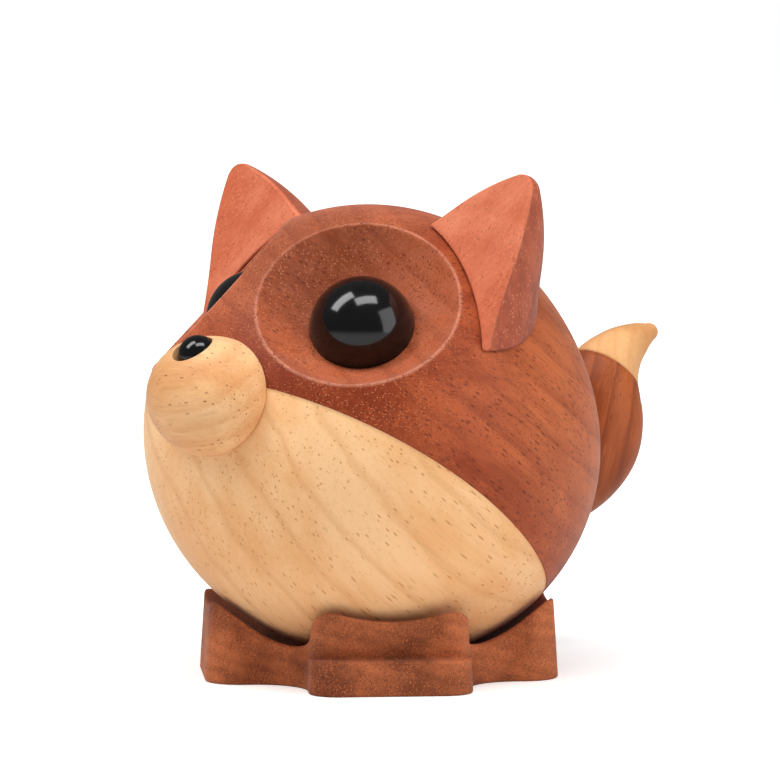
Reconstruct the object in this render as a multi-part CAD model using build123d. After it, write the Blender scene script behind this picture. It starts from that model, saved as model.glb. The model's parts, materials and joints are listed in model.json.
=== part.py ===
from build123d import *
from math import asin, cos, radians, sin, sqrt
import os

# Turned wooden fox: an egg-shaped ball glued from two woods, loose in a cupped four-lobed foot.
# Millimetres. The origin is on the foot's underside, under the ball's turning axis.
# +Z is up, the fox looks along -Y and its left side is +X.

# Ball
ball_radius = 40.0
cup_floor = 2.2
ball_height = ball_radius + cup_floor
ball_forward = 0.8
grain_tilt = 34.6
# Radius of the ball every 30 degrees from its forehead end to its rump end
ball_profile_shares = (1.008, 1.016, 1.008, 0.977, 0.982, 1.026, 1.034)
seam_depth = 12.0
seat_gap = 0.12
fit_gap = 0.05

# Eye dishes and eyes
dish_stand = 13.5
dish_reach = ball_radius + dish_stand
dish_radius = 24.0
dish_rise = 42.6
dish_turn = 39.8
eye_radius = 9.15
eye_lift = 0.4
eye_reach = dish_reach - dish_radius + eye_lift
eye_skirt = 1.0

# Snout, an oval turned across the face, and its nose bead
snout_stand = 0.2
snout_reach = ball_radius + snout_stand
snout_rise = 13.0
snout_half_width = 12.9
snout_radius = 10.4
bead_radius = 3.5
bead_reach = 8.0
bead_rise = 65.0
bead_hole_rise = 42.0

# Ears, each half of a turned point with its flat side to the front
ear_half_width = 14.4
ear_length = 28.7
ear_tip_round = 1.3
ear_root_shares = (0.4625, -0.0525, 0.585)
ear_splay = 34.9
ear_lean = 11.2
ear_turn = 10.3
ear_gap = 0.3
ear_dowel_share = 0.38

# Tail: places along its middle line behind and above the ball's centre, with its radius there
tail_back_share = 1.425
tail_back = ball_radius * tail_back_share
tail_radius = 8.5
tail_line_shares = (
    (0.610, -0.300, 0.56),
    (0.690, -0.300, 0.58),
    (0.765, -0.285, 0.66),
    (0.855, -0.255, 0.80),
    (0.925, -0.200, 0.93),
    (0.980, -0.120, 1.00),
    (1.000, -0.030, 1.00),
    (1.005, 0.060, 0.94),
    (1.035, 0.135, 0.80),
    (1.100, 0.195, 0.58),
    (1.180, 0.235, 0.37),
    (1.245, 0.255, 0.20),
)
tail_joint_back_share = 1.035
tail_joint_up_share = 0.137
tail_joint_tilt = 40.0

# Foot block
foot_reach = 31.0
foot_half_width = 14.2
foot_corner = 6.0
toe_corner = 5.0
foot_root_round = 4.0
foot_height = 14.9
foot_draft = 3.5
foot_turn = 50.7
cup_gap = 0.45
toe_height = 6.0
toe_step = 2.2

# Dowels
dowel_radius = 2.0
small_dowel_radius = 1.25
dowel_depth = 7.0
small_dowel_depth = 4.0
dowel_end_gap = 0.3
body_dowel_spread = 15.0

ball_centre = Vector(0, -ball_forward, ball_height)
ball_place = Pos(ball_centre) * Rot(X=90 - grain_tilt)


def face_direction(turn, rise):
    """Unit direction from the ball's centre: turn to the fox's left of forward, rise above level."""
    level = cos(radians(rise))
    return Vector(level * sin(radians(turn)), -level * cos(radians(turn)), sin(radians(rise)))


def rod(start, direction, length, radius):
    """Round rod from a start point along a direction."""
    return extrude(Plane(origin=start, z_dir=direction) * Circle(radius), amount=length)


def ball(extra):
    """The whole ball, with its surface moved out by extra, turned about the grain direction."""
    last = len(ball_profile_shares) - 1
    points = []
    for step, share in enumerate(ball_profile_shares + ball_profile_shares[-2:0:-1]):
        angle = radians(180 * step / last)
        radius = ball_radius * share + extra
        points.append((radius * sin(angle), radius * cos(angle)))
    section = make_face(Spline(points, periodic=True))
    section &= Pos(X=2 * ball_radius) * Rectangle(4 * ball_radius, 4 * ball_radius)
    return ball_place * revolve(Plane.XZ * section, Axis.Z)


def mirrored(shape):
    """The same shape on the fox's right side."""
    return mirror(shape, about=Plane.YZ)


def dowel(middle, direction, radius, depth):
    """A dowel centred on a joint face, and its hole with room at both ends."""
    pin = rod(middle - direction * depth, direction, 2 * depth, radius)
    reach = depth + dowel_end_gap
    hole = rod(middle - direction * reach, direction, 2 * reach, radius + fit_gap)
    return pin, hole


# Eyes: half balls with a short skirt, each sunk in a pocket at the bottom of its dish
dish_line = face_direction(dish_turn, dish_rise)
eye_centre = ball_centre + dish_line * eye_reach
eye_back = ball_centre + dish_line * (eye_reach - eye_skirt)
half_ball = Sphere(eye_radius, arc_size1=0, align=(Align.CENTER, Align.CENTER, Align.MIN))
eye_front_half = Plane(origin=eye_centre, z_dir=dish_line) * half_ball
eye_left = eye_front_half + rod(eye_back, dish_line, eye_skirt, eye_radius)
eye_pocket = rod(eye_back - dish_line * fit_gap, dish_line, eye_skirt + eye_radius, eye_radius + fit_gap)
dish = Pos(ball_centre + dish_line * dish_reach) * Sphere(dish_radius)

# Snout: a spheroid whose back is hollowed to sit on the ball
snout_line = face_direction(0, snout_rise)
snout_centre = ball_centre + snout_line * snout_reach
snout_outline = EllipticalCenterArc((0, 0), snout_half_width, snout_radius, 0, arc_size=90)
snout_outline += EllipticalCenterArc((0, 0), snout_half_width, snout_radius, 90, arc_size=90)
snout_outline += Line((-snout_half_width, 0), (snout_half_width, 0))
snout_whole = Pos(snout_centre) * revolve(make_face(snout_outline), Axis.X)
snout_seat = ball_centre + snout_line * ball_radius
snout_dowel, snout_hole = dowel(snout_seat, snout_line, dowel_radius, small_dowel_depth)

# Nose bead, sunk in a blind round hole near the top of the snout
bead_centre = snout_centre + face_direction(0, bead_rise) * bead_reach
bead_line = face_direction(0, bead_hole_rise)
bead_hole_radius = bead_radius + fit_gap
nose_bead = Pos(bead_centre) * Sphere(bead_radius)
bead_hole = rod(bead_centre, bead_line, snout_radius, bead_hole_radius)
bead_hole += Pos(bead_centre) * Sphere(bead_hole_radius)
snout = snout_whole - [ball(seat_gap), snout_hole, bead_hole]

# Ears: a pointed turned form split lengthwise, hollowed below to sit on the ball
ear_arc = (ear_length**2 + ear_half_width**2 - 2 * ear_length * ear_tip_round) / (
    2 * (ear_half_width - ear_tip_round)
)
ear_arc_side = ear_arc - ear_half_width
tip_middle = ear_length - ear_tip_round
tip_share = ear_tip_round / (ear_arc - ear_tip_round)
tip_start = (ear_arc_side * tip_share, tip_middle * (1 + tip_share))
half_angle = asin(tip_start[1] / ear_arc) / 2
arc_middle = (ear_arc * cos(half_angle) - ear_arc_side, ear_arc * sin(half_angle))
tip_angle = (radians(90) + 2 * half_angle) / 2
tip_middle_point = (ear_tip_round * cos(tip_angle), tip_middle + ear_tip_round * sin(tip_angle))
ear_outline = ThreePointArc((ear_half_width, 0), arc_middle, tip_start)
ear_outline += ThreePointArc(tip_start, tip_middle_point, (0, ear_length))
ear_outline += Polyline((0, ear_length), (0, 0), (ear_half_width, 0))
ear_form = revolve(Plane.XZ * make_face(ear_outline), Axis.Z, revolution_arc=180)
ear_root = ball_centre + Vector(*(share * ball_radius for share in ear_root_shares))
ear_place = Pos(ear_root) * Rot(Z=-ear_turn) * Rot(X=-ear_lean) * Rot(Y=ear_splay)
ear_left = ear_place * ear_form - ball(ear_gap)

# Tail: round sections swelling along a curved middle line, its tip glued on at a slant
tail_points = []
for back_share, up_share, radius_share in tail_line_shares:
    place = ball_centre + Vector(0, back_share * tail_back, up_share * tail_back)
    tail_points.append((place, radius_share * tail_radius))
tail_sections = []
for index, (place, radius) in enumerate(tail_points):
    before = tail_points[max(index - 1, 0)][0]
    after = tail_points[min(index + 1, len(tail_points) - 1)][0]
    plane = Plane(origin=place, x_dir=(1, 0, 0), z_dir=after - before)
    tail_sections.append(plane * Circle(radius))
tail_whole = loft(tail_sections)
tail_end, tail_end_radius = tail_points[-1]
tail_whole += Pos(tail_end) * Sphere(tail_end_radius)
tail_whole -= ball(seat_gap)
tail_joint_up = tail_joint_up_share * tail_back
tail_joint_place = ball_centre + Vector(0, tail_joint_back_share * tail_back, tail_joint_up)
tail_joint_line = Vector(0, sin(radians(tail_joint_tilt)), cos(radians(tail_joint_tilt)))
tail_joint = Plane(origin=tail_joint_place, x_dir=(1, 0, 0), z_dir=tail_joint_line)
tail_body = split(tail_whole, bisect_by=tail_joint, keep=Keep.BOTTOM)
tail_tip = split(tail_whole, bisect_by=tail_joint, keep=Keep.TOP)

# Ball, cut into its two woods along the flat seam, which follows the grain
whole_ball = ball(0)
seam_line = Vector(0, sin(radians(grain_tilt)), cos(radians(grain_tilt)))
seam_place = ball_centre - seam_line * seam_depth
seam = Plane(origin=seam_place, x_dir=(1, 0, 0), z_dir=seam_line)
body_upper = split(whole_ball, bisect_by=seam, keep=Keep.TOP)
body_belly = split(whole_ball, bisect_by=seam, keep=Keep.BOTTOM)
body_upper -= dish
body_upper -= mirrored(dish)
body_upper -= eye_pocket
body_upper -= mirrored(eye_pocket)

# Dowels: across the seam, and into the ears, the tail and the tail's tip
seam_along = Vector(0, -cos(radians(grain_tilt)), sin(radians(grain_tilt)))
body_dowels = []
for side in (-1, 1):
    pin, hole = dowel(seam_place - seam_along * side * body_dowel_spread, seam_line, dowel_radius, dowel_depth)
    body_dowels.append(pin)
    body_upper -= hole
    body_belly -= hole

body_upper -= snout_hole
body_belly -= snout_hole

ear_line = (ear_place * Pos(Z=ear_length)).position - ear_root
ear_line = ear_line.normalized()
ear_back = (ear_place * Pos(Y=ear_half_width)).position - ear_root
ear_dowel_foot = ear_root + ear_back * ear_dowel_share
from_centre = ear_dowel_foot - ball_centre
along = from_centre.dot(ear_line)
to_surface = sqrt(along**2 + ball_radius**2 - from_centre.dot(from_centre)) - along
ear_seat = ear_dowel_foot + ear_line * to_surface
ear_dowel_left, ear_hole = dowel(ear_seat, ear_line, small_dowel_radius, small_dowel_depth)
ear_left -= ear_hole
body_upper -= ear_hole
body_upper -= mirrored(ear_hole)

tail_root_line = (tail_points[1][0] - tail_points[0][0]).normalized()
tail_seat = tail_points[1][0]
tail_dowel, tail_hole = dowel(tail_seat, tail_root_line, small_dowel_radius, small_dowel_depth)
tail_body -= tail_hole
body_upper -= tail_hole

tail_tip_dowel, tip_hole = dowel(
    tail_joint_place, tail_joint_line, small_dowel_radius, small_dowel_depth
)
tail_body -= tip_hole
tail_tip -= tip_hole

# Foot: four lobes with drafted walls, a cup for the ball and a stepped toe on the front lobe
def foot_block(front_reach, corner, height):
    """Four-lobed block whose front lobe ends at front_reach and has its own corner radius."""
    reach = foot_reach + front_reach
    plan = Rectangle(2 * foot_reach, 2 * foot_half_width)
    plan += Pos(Y=(foot_reach - front_reach) / 2) * Rectangle(2 * foot_half_width, reach)
    front = plan.vertices().group_by(Axis.Y)[0]
    plan = fillet(front, corner)
    inner = [v for v in plan.vertices() if max(abs(v.X), abs(v.Y)) < foot_half_width + fit_gap]
    plan = fillet(inner, foot_root_round)
    outer = [v for v in plan.vertices() if max(v.X, v.Y, -v.X) > foot_reach - fit_gap]
    plan = fillet(outer, foot_corner)
    return extrude(plan, amount=height, taper=foot_draft)


base = foot_block(foot_reach - toe_step, foot_corner, foot_height)
base += foot_block(foot_reach, toe_corner, toe_height)
cup_radius = ball_radius * max(ball_profile_shares[4:]) + cup_gap
cup = Pos(Z=ball_height) * Sphere(cup_radius) & Pos(Z=cup_floor + ball_height) * Box(
    4 * foot_reach, 4 * foot_reach, 2 * ball_height
)
base = Rot(Z=foot_turn) * base - cup

ear_right = mirrored(ear_left)
eye_right = mirrored(eye_left)
ear_dowel_right = mirrored(ear_dowel_left)

parts = {
    "base": base,
    "body_upper": body_upper,
    "body_belly": body_belly,
    "body_dowels": Compound(children=body_dowels),
    "snout": snout,
    "snout_dowel": snout_dowel,
    "nose_bead": nose_bead,
    "eye_left": eye_left,
    "eye_right": eye_right,
    "ear_left": ear_left,
    "ear_right": ear_right,
    "ear_dowel_left": ear_dowel_left,
    "ear_dowel_right": ear_dowel_right,
    "tail_body": tail_body,
    "tail_tip": tail_tip,
    "tail_dowel": tail_dowel,
    "tail_tip_dowel": tail_tip_dowel,
}
os.makedirs("parts", exist_ok=True)
for name, shape in parts.items():
    export_step(shape, f"parts/{name}.step")
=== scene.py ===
"""Looks of a turned wooden fox that rests loose in a cupped, four-lobed foot.

Every surface is worked out in millimetres in the fox's own frame (the fox looks along -Y, its left
side is +X, up is +Z) and goes into its mesh in metres. All woods are solid textures: their fibres
run through the piece, so that pores show as dots on end grain and as long dashes along the grain.
"""

from __future__ import annotations

import json
import logging
import math
from collections.abc import Callable
from dataclasses import dataclass, replace
from enum import Enum

import bpy
import numpy as np
from mathutils import Matrix, Vector

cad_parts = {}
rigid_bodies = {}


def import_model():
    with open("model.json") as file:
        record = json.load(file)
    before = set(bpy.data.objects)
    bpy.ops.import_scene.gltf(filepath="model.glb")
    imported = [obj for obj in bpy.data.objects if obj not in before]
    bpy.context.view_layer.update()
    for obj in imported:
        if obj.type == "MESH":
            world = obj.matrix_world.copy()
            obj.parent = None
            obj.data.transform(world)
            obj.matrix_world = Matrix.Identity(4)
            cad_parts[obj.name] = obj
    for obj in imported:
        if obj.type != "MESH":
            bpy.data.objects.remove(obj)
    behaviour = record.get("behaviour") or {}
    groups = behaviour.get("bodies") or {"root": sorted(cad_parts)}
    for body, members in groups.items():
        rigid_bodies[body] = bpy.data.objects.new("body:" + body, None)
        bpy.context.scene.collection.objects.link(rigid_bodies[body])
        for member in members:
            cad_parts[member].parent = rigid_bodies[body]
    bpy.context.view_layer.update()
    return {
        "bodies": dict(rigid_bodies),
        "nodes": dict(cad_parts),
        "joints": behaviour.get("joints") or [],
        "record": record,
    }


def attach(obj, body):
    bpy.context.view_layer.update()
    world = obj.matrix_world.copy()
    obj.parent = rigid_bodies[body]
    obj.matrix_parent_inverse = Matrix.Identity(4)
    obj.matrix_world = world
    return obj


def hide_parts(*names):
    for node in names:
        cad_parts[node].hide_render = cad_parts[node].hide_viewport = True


log = logging.getLogger("fox")

MM = 0.001
MERGE_STEP = 2e-7
WHITE = (1.0, 1.0, 1.0, 1.0)
SIDEWAYS = np.array([1.0, 0.0, 0.0])
UPWARD = np.array([0.0, 0.0, 1.0])
FOX_MIDDLE = (0.0, -0.8, 42.2)
# Socket numbers of the mix node's colours: by name it answers with the sockets of its numbers.
MIX_FIRST, MIX_SECOND, MIX_RESULT = 6, 7, 2
Array = np.ndarray
Socket = bpy.types.NodeSocket
Pair = tuple[float, float]
Triple = tuple[float, float, float]


class Body(Enum):
    """The two bodies that pieces ride on."""

    FOOT = "foot"
    FOX = "fox"


def unit(vectors: Array) -> Array:
    """Vectors scaled to length one, along their last axis."""
    vectors = np.asarray(vectors, float)
    return vectors / np.linalg.norm(vectors, axis=-1, keepdims=True)


def turned(angles: Triple) -> Array:
    """Rotation matrix that turns about X, then Y, then Z.

    Args:
        angles: the three angles in degrees.

    Returns:
        A 3 by 3 matrix for column vectors.
    """
    matrix = np.eye(3)
    for axis, angle in enumerate(np.radians(angles)):
        first, second = (axis + 1) % 3, (axis + 2) % 3
        step = np.eye(3)
        step[first, first] = step[second, second] = math.cos(angle)
        step[second, first], step[first, second] = math.sin(angle), -math.sin(angle)
        matrix = step @ matrix
    return matrix


def face_direction(turn: float, rise: float) -> Array:
    """Unit direction turned to the fox's left of forward and raised above level, in degrees."""
    level = math.cos(math.radians(rise))
    side = math.radians(turn)
    return np.array([level * math.sin(side), -level * math.cos(side), math.sin(math.radians(rise))])


def bisect(inside: Callable, low: Array, high: Array | float, steps: int = 44) -> Array:
    """Where a condition stops to hold, by halving the interval for all values at once.

    Args:
        inside: function of an array that gives True below the sought value.
        low: values where the condition holds.
        high: values where it does not.
        steps: number of halvings.

    Returns:
        The sought values, as many as there are in low.
    """
    high = np.broadcast_to(high, low.shape)
    for _ in range(steps):
        middle = (low + high) / 2
        holds = inside(middle)
        low = np.where(holds, middle, low)
        high = np.where(holds, high, middle)
    return (low + high) / 2


def soft_min(first: Array, second: Array | float, width: float) -> Array:
    """The smaller of two arrays, rounded where they differ by less than width.

    The formula is min(a, b) - width * h^2 / 4 with h = max(width - |a - b|, 0) / width.
    """
    blend = np.maximum(width - np.abs(first - second), 0) / width
    return np.minimum(first, second) - width * blend**2 / 4


def full_turn(columns: int) -> Array:
    """Angles of columns that are spread evenly round a full turn."""
    return np.linspace(0, 2 * np.pi, columns, endpoint=False)


def ring(turn: Array, across: Array, over: Array) -> Array:
    """Directions cos(t) * across + sin(t) * over, one for each angle t."""
    return np.cos(turn)[..., None] * across + np.sin(turn)[..., None] * over


def fan(loop: Array, rows: int) -> Array:
    """Rows from a loop's mean point out towards the loop, without the loop itself."""
    share = np.linspace(0, 1, rows, endpoint=False)[:, None, None]
    return loop.mean(axis=0) * (1 - share) + loop * share


def rows_over(edge: Array, zone: Array, rows: tuple[int, ...], crowding: Pair) -> Array:
    """Shares along rays from their start to an edge, closely over it, and on to their end.

    Args:
        edge: share at which each ray meets the edge.
        zone: half the stretch of close rows.
        rows: how many rows lie before, over and behind the edge.
        crowding: powers that crowd the rows before and behind; 1 spreads them evenly.

    Returns:
        Shares, one row of the grid to a row.
    """
    before, over = (
        np.linspace(low, 1, count, endpoint=False)[:, None] for low, count in zip((0, -1), rows)
    )
    behind = np.linspace(0, 1, rows[2])[:, None] ** crowding[1] * (1 - edge - zone) + edge + zone
    return np.concatenate([before ** crowding[0] * (edge - zone), over * zone + edge, behind])


def mirrored(points: Array, side: int) -> Array:
    """Points laid out on the left: as they are for side 1, on the right for side -1."""
    return points * np.array([side, 1.0, 1.0])


def add_object(
    name: str, data: bpy.types.ID, place: Array | None = None, turn: Matrix | None = None
) -> bpy.types.Object:
    """Links a new object to the scene, placed if a place in metres and a rotation are given."""
    made = bpy.data.objects.new(name, data)
    if place is not None:
        made.matrix_world = Matrix.Translation(Vector(place)) @ turn.to_4x4()
    bpy.context.scene.collection.objects.link(made)
    return made


@dataclass(frozen=True)
class Shell:
    """One closed surface, as grids of rows by columns by 3 whose last column joins the first."""

    name: str
    grids: tuple[Array, ...]

    def quads(self) -> Array:
        """Corner numbers of every grid's quads, counted through all grids."""
        quads, start = [], 0
        for grid in self.grids:
            height, width = grid.shape[:2]
            index = start + np.arange(height * width).reshape(height, width)
            index = np.concatenate([index, index[:, :1]], axis=1)
            corners = [index[:-1, :-1], index[:-1, 1:], index[1:, 1:], index[1:, :-1]]
            quads.append(np.stack(corners, axis=-1).reshape(-1, 4))
            start += height * width
        return np.concatenate(quads)

    def piece(
        self, material: bpy.types.Material, slot: str, node: str, body: Body = Body.FOX
    ) -> None:
        """Makes the Blender object, with doubled points merged, faces outwards and smooth shading.

        Args:
            material: the finish.
            slot: the record's material slot; not used.
            node: the CAD node that the piece stands for.
            body: the body that the piece rides on.
        """
        mesh = bpy.data.meshes.new(self.name)
        points = np.concatenate([grid.reshape(-1, 3) for grid in self.grids]) * MM
        points, quads = merged(points, self.quads())
        first, second, third, fourth = (points[quads[:, k]] for k in range(4))
        across = np.cross(second, third) + np.cross(third, fourth)
        if np.einsum("ij,ij->i", first, across).sum() < 0:
            quads = quads[:, ::-1]
        mesh.from_pydata(points.tolist(), [], face_lists(quads))
        mesh.validate()
        mesh.polygons.foreach_set("use_smooth", np.ones(len(mesh.polygons), bool))
        mesh.materials.append(material)
        piece = add_object(self.name, mesh)
        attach(piece, body.value)
        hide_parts(node)
        log.info("%s: %d faces", self.name, len(mesh.polygons))


def merged(points: Array, quads: Array) -> tuple[Array, Array]:
    """Merges points that round to the same place, and renumbers the quads."""
    keys = np.round(points / MERGE_STEP).astype(np.int64)
    _, chosen, numbers = np.unique(keys, axis=0, return_index=True, return_inverse=True)
    return points[chosen], numbers.reshape(-1)[quads]


def face_lists(quads: Array) -> list[list[int]]:
    """Quads as lists: those that lost an edge to merging as triangles, flatter ones dropped."""
    following = np.roll(quads, -1, axis=1)
    kept = quads != following
    corners = kept.sum(axis=1)
    whole = quads[corners == 4]
    whole = whole[(whole[:, 0] != whole[:, 2]) & (whole[:, 1] != whole[:, 3])]
    three = corners == 3
    triangles = quads[three][kept[three]].reshape(-1, 3)
    return whole.tolist() + triangles.tolist()


@dataclass(frozen=True)
class Ball:
    """The egg-shaped ball: its surface, the seam between its two woods and the eye dishes."""

    centre: Triple
    radius: float = 40.0
    grain_tilt: float = 34.6
    profile_shares: tuple[float, ...] = (1.008, 1.016, 1.008, 0.977, 0.982, 1.026, 1.034)
    seam_depth: float = 12.0
    dish_reach: float = 48.4
    dish_radius: float = 20.95
    dish_rise: float = 42.6
    dish_turn: float = 39.8
    right_dish_turn: float = 44.5
    rim_round: float = 1.3
    rim_zone: float = 0.75

    @property
    def middle(self) -> Array:
        """The ball's centre."""
        return np.array(self.centre)

    @property
    def seam_normal(self) -> Array:
        """Unit normal of the seam plane, pointing up and back."""
        return np.cross(self.grain, SIDEWAYS)

    @property
    def grain(self) -> Array:
        """Unit direction of the fibres, in the seam plane, forward and up."""
        return face_direction(0, self.grain_tilt)

    @property
    def dish_line(self) -> Array:
        """Unit direction from the ball's centre through the left eye."""
        return face_direction(self.dish_turn, self.dish_rise)

    @property
    def dish_centres(self) -> tuple[tuple[float, ...], ...]:
        """Centres of the left and the right dish's spheres."""
        turns = (self.dish_turn, -self.right_dish_turn)
        arms = [self.dish_reach * face_direction(turn, self.dish_rise) for turn in turns]
        return tuple(tuple((self.middle + arm).tolist()) for arm in arms)

    def reach(self, directions: Array) -> Array:
        """Distance from the centre to the egg's surface.

        With t the angle from the grain axis, the radius is a cosine series through the profile
        shares: r(t) = R * sum of a_m * cos(m * t), each a_m from the shares by the cosine sum.

        Args:
            directions: unit vectors along the last axis.

        Returns:
            The distances.
        """
        shares = np.array(self.profile_shares)
        last = len(shares) - 1
        order = np.arange(last + 1)
        ends = np.where((order == 0) | (order == last), 0.5, 1.0)
        waves = np.cos(np.pi * np.outer(order, order) / last)
        factors = ends * (2 / last) * ((waves * ends) @ shares)
        angle = np.arccos(np.clip(directions @ self.grain, -1, 1))
        return self.radius * np.cos(angle[..., None] * order) @ factors

    def dish_depth(self, directions: Array) -> Array:
        """Distance from the centre to the left dish's sphere, or a large one where it misses."""
        along = directions @ self.dish_line * self.dish_reach
        inner = along**2 - self.dish_reach**2 + self.dish_radius**2
        near = along - np.sqrt(np.maximum(inner, 0))
        return np.where((inner > 0) & (along > 0), near, 2 * self.radius)

    def surface(self, directions: Array, extra: float = 0.0) -> Array:
        """Points of the egg's surface in the given directions, moved out by extra."""
        return self.middle + directions * (self.reach(directions) + extra)[..., None]

    def seat(self, edge: Array, rows: int, gap: float) -> Array:
        """Rows a gap above the egg's surface, from the middle of a loop out towards the loop."""
        return self.surface(unit(fan(edge, rows) - self.middle), gap)

    def depth(self, points: Array) -> Array:
        """How far points lie outside the egg's surface, seen from its centre; negative inside."""
        arms = points - self.middle
        return np.linalg.norm(arms, axis=-1) - self.reach(unit(arms))

    def globe(self, turn: Array, slant: Array) -> Array:
        """Unit directions for a turn about the seam normal and a slant away from it, in degrees."""
        level = ring(np.radians(turn), self.grain, SIDEWAYS)
        return ring(np.radians(slant), self.seam_normal, level)

    def seam_slant(self, turn: Array) -> Array:
        """Slant at which the egg's surface meets the seam plane, for each turn."""

        def above(slant: Array) -> Array:
            directions = self.globe(turn, slant)
            return self.reach(directions) * (directions @ self.seam_normal) > -self.seam_depth

        return bisect(above, np.full(turn.shape, 60.0), 150.0)

    def seam_disc(self, edge: Array, rows: int = 6) -> Array:
        """Grid from a loop of points on the seam's edge in to the middle of the seam plane."""
        hub = self.middle - self.seam_normal * self.seam_depth
        shares = np.linspace(0, 1, rows)[:, None, None]
        return edge * (1 - shares) + hub * shares


@dataclass(frozen=True)
class UpperHalf:
    """The red upper wood: on each side, rows from the dish's middle over its rim to the border.

    The border of a side is a rectangle in turn and slant: the two stretches of the middle plane,
    the pole where they meet and the seam's edge. Straight rays run in that rectangle from the
    dish's middle to points on the border.
    """

    ball: Ball
    columns: int = 340
    samples: int = 1500
    mean_slant: float = 107.0
    rows: tuple[int, ...] = (26, 14, 64)
    crowding: Pair = (0.8, 1.35)

    def border(self, hub: Array) -> Array:
        """Border points in (turn, slant share) that are spaced half by length and half by angle.

        Args:
            hub: the dish's middle in the same coordinates.

        Returns:
            An array of points by 2, running once round the rectangle.
        """
        corners = np.array([[0, 1], [180, 1], [180, 0], [0, 0], [0, 1]], float)
        scale = np.array([1.0, self.mean_slant])
        fine = np.linspace(0, 1, self.samples)
        sides = []
        for start, end in zip(corners[:-1], corners[1:]):
            line = start + (end - start) * fine[:, None]
            arms = (line - hub) * scale
            angle = np.unwrap(np.arctan2(arms[:, 1], arms[:, 0]))
            swept = np.abs(angle - angle[0])
            length = np.linalg.norm((line - start) * scale, axis=1)
            measure = swept / (2 * math.pi) + length / (2 * (180 + self.mean_slant))
            count = max(int(round(self.columns * measure[-1] / 2)), 4)
            places = np.linspace(0, measure[-1], count, endpoint=False)
            share = np.interp(places, measure, fine)
            sides.append(start + (end - start) * share[:, None])
        return np.concatenate(sides)

    @staticmethod
    def hub(ball: Ball) -> Array:
        """The dish's middle in turn and slant share."""
        line = ball.dish_line
        level = line - (line @ ball.seam_normal) * ball.seam_normal
        turn = math.degrees(math.atan2(level[0], level @ ball.grain))
        slant = math.degrees(math.acos(line @ ball.seam_normal))
        return np.array([turn, slant / ball.seam_slant(np.array([turn]))[0]])

    def side(self, dish_turn: float) -> tuple[Array, Array]:
        """One side's grid, laid out on the left, and the part of its last row on the seam's edge.

        Args:
            dish_turn: turn of that side's dish away from the front, in degrees.

        Returns:
            The grid of points, and the points on the seam's edge.
        """
        ball = replace(self.ball, dish_turn=dish_turn)
        line, hub, border = ball.dish_line, self.hub(ball), self.border(self.hub(self.ball))

        def directions(share: Array) -> Array:
            place = hub + (border - hub) * share[..., None]
            return ball.globe(place[..., 0], place[..., 1] * ball.seam_slant(place[..., 0]))

        def in_dish(share: Array) -> Array:
            rays = directions(share)
            return ball.dish_depth(rays) < ball.reach(rays)

        rim = bisect(in_dish, np.zeros(len(border)), 1.0)
        arc = np.arccos(np.clip((directions(rim) * line).sum(-1), -1, 1)) * ball.radius
        zone = rim * ball.rim_zone / arc
        rays = directions(rows_over(rim, zone, self.rows, self.crowding))
        reach = soft_min(ball.reach(rays), ball.dish_depth(rays), ball.rim_round)
        points = ball.middle + rays * reach[..., None]
        on_plane = (border[:, 0] == 0) | (border[:, 0] == 180)
        points[-1, on_plane, 0] = 0.0
        return points, points[-1][border[:, 1] == 1]

    def shell(self) -> Shell:
        """Both sides and the flat seam face, as one closed surface."""
        left, edge = self.side(self.ball.dish_turn)
        right, _ = self.side(self.ball.right_dish_turn)
        seam = self.ball.seam_disc(np.concatenate([edge, mirrored(edge, -1)[::-1][1:-1]]))
        return Shell("body_upper_wood", (left, mirrored(right, -1)[:, ::-1], seam))


@dataclass(frozen=True)
class BellyCap:
    """The pale lower wood: the rest of the egg below the seam, closed by the flat seam face."""

    ball: Ball
    columns: int = 360
    rows: int = 84

    def shell(self) -> Shell:
        """Rows run from the seam's edge down to the pole, at even slants."""
        turn = np.linspace(0, 360, self.columns, endpoint=False)
        edge = self.ball.seam_slant(turn)
        share = np.linspace(0, 1, self.rows)[:, None]
        slant = edge + (180 - edge) * share
        rays = self.ball.globe(np.broadcast_to(turn, slant.shape), slant)
        points = self.ball.surface(rays)
        return Shell("body_belly_wood", (points, self.ball.seam_disc(points[0])))


@dataclass(frozen=True)
class Eye:
    """A glossy half ball with a short skirt, sunk in the bottom of its dish."""

    ball: Ball
    radius: float = 9.15
    reach: float = 28.6
    turn: float = 40.0
    right_turn: float = 44.5
    rise: float = 44.3
    skirt: float = 1.0
    columns: int = 128
    rows: int = 48

    def shell(self, name: str, side: int) -> Shell:
        """A quarter circle and the skirt's line turned about the dish's line.

        Args:
            name: the piece's name.
            side: 1 for the left eye, -1 for the right one.

        Returns:
            The closed surface.
        """
        line = face_direction(self.turn if side > 0 else self.right_turn, self.rise)
        across = unit(np.cross(line, UPWARD))
        angle = np.linspace(0, np.pi / 2, self.rows)
        out = np.concatenate([self.radius * np.sin(angle), self.radius * np.array([1.0, 0.0])])
        along = np.concatenate([self.radius * np.cos(angle), -self.skirt * np.ones(2)])
        around = ring(full_turn(self.columns), across, np.cross(across, line))
        middle = self.ball.middle + line * self.reach
        rows = middle + out[:, None, None] * around + along[:, None, None] * line
        return Shell(name, (mirrored(rows, side),))


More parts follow.
